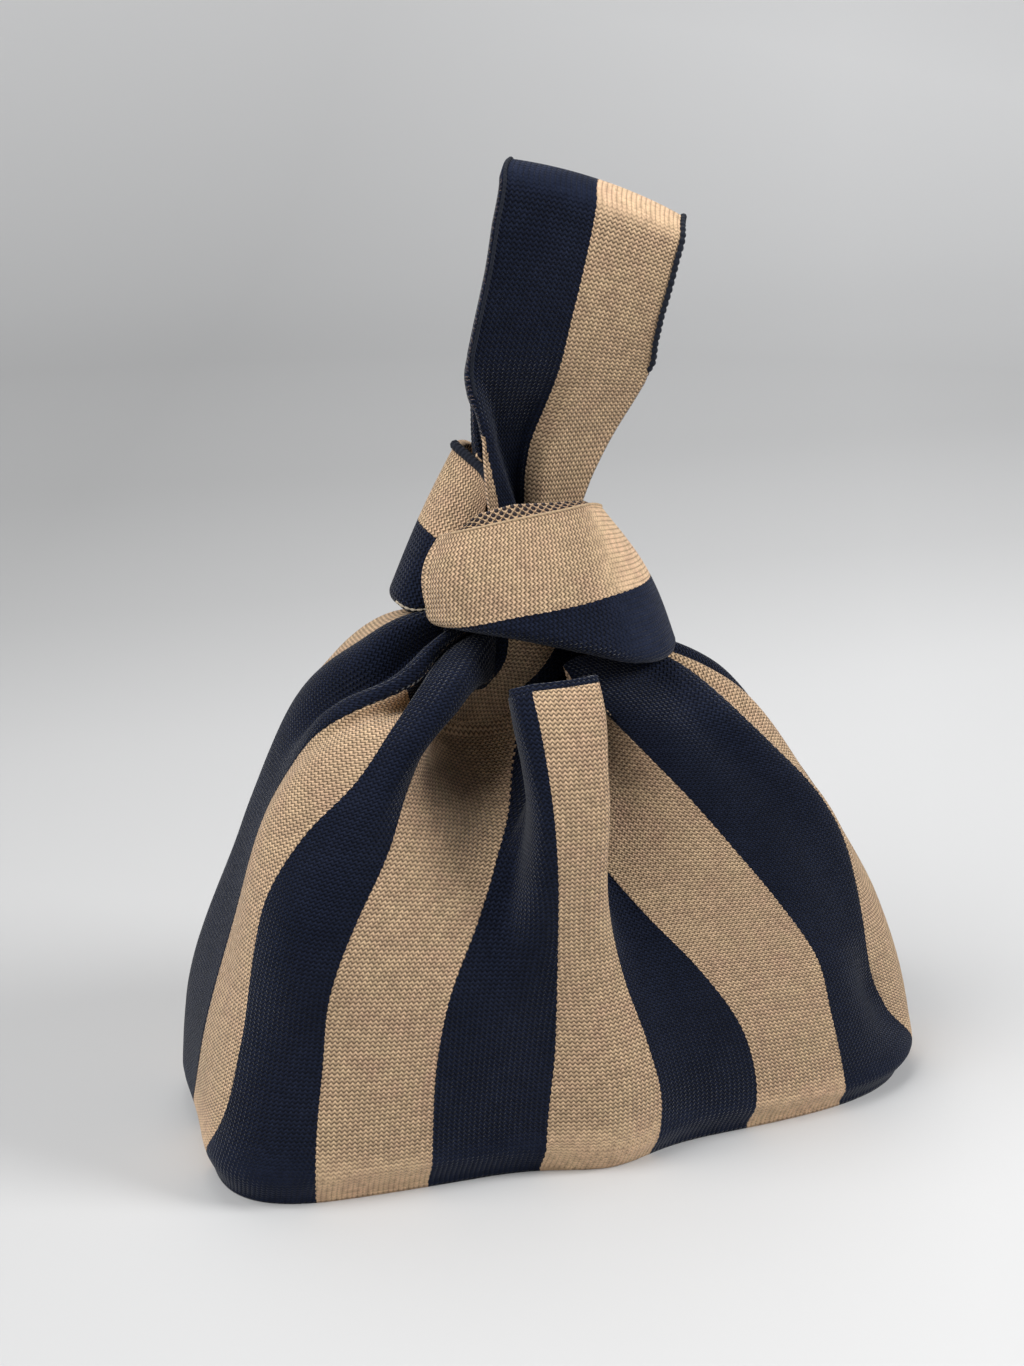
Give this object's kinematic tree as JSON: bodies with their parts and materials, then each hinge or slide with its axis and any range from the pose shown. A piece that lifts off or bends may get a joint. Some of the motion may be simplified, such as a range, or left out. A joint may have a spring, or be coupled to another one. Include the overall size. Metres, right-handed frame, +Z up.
{
  "type": "knitted knot bag",
  "caption": "Soft striped knitted bag with a boxed bottom, gathered at the neck where a long handle loop is drawn up through a short handle band.",
  "frame": {"origin": "floor face of the boxed bottom, under the middle of the bag", "axes": "+Z up, front towards -Y, the long handle flops about a line along X"},
  "size_m": [0.1955, 0.1077, 0.2449],
  "materials": {
    "knit_navy": "matte double knit, navy black",
    "knit_beige": "matte double knit, khaki beige",
    "knit_striped": "matte double knit in navy and beige stripes",
    "knit_reverse": "speckled reverse of the knit"
  },
  "bodies": {
    "bag": {"front_panel": "knit_striped", "back_panel": "knit_striped", "base_panel": "knit_navy", "front_mouth_edging": "knit_navy", "back_mouth_edging": "knit_navy", "left_side_seam": "knit_beige", "right_side_seam": "knit_beige", "long_handle_front_leg": "knit_striped", "long_handle_back_leg": "knit_striped", "short_handle_band": "knit_striped", "short_handle_edging": "knit_reverse", "short_handle_join": "knit_beige"},
    "long_handle": {"long_handle_loop": "knit_striped", "long_handle_edging_left": "knit_navy", "long_handle_edging_right": "knit_navy", "long_handle_join": "knit_navy"}
  },
  "joints": [
    {"name": "long_handle_flop", "type": "hinge", "parent": "bag", "child": "long_handle", "pos_m": [-0.0015, -0.001, 0.178], "axis": [1, 0, 0], "range_deg": [-50, 50], "stiffness_Nm_per_rad": 0.02}
  ]
}
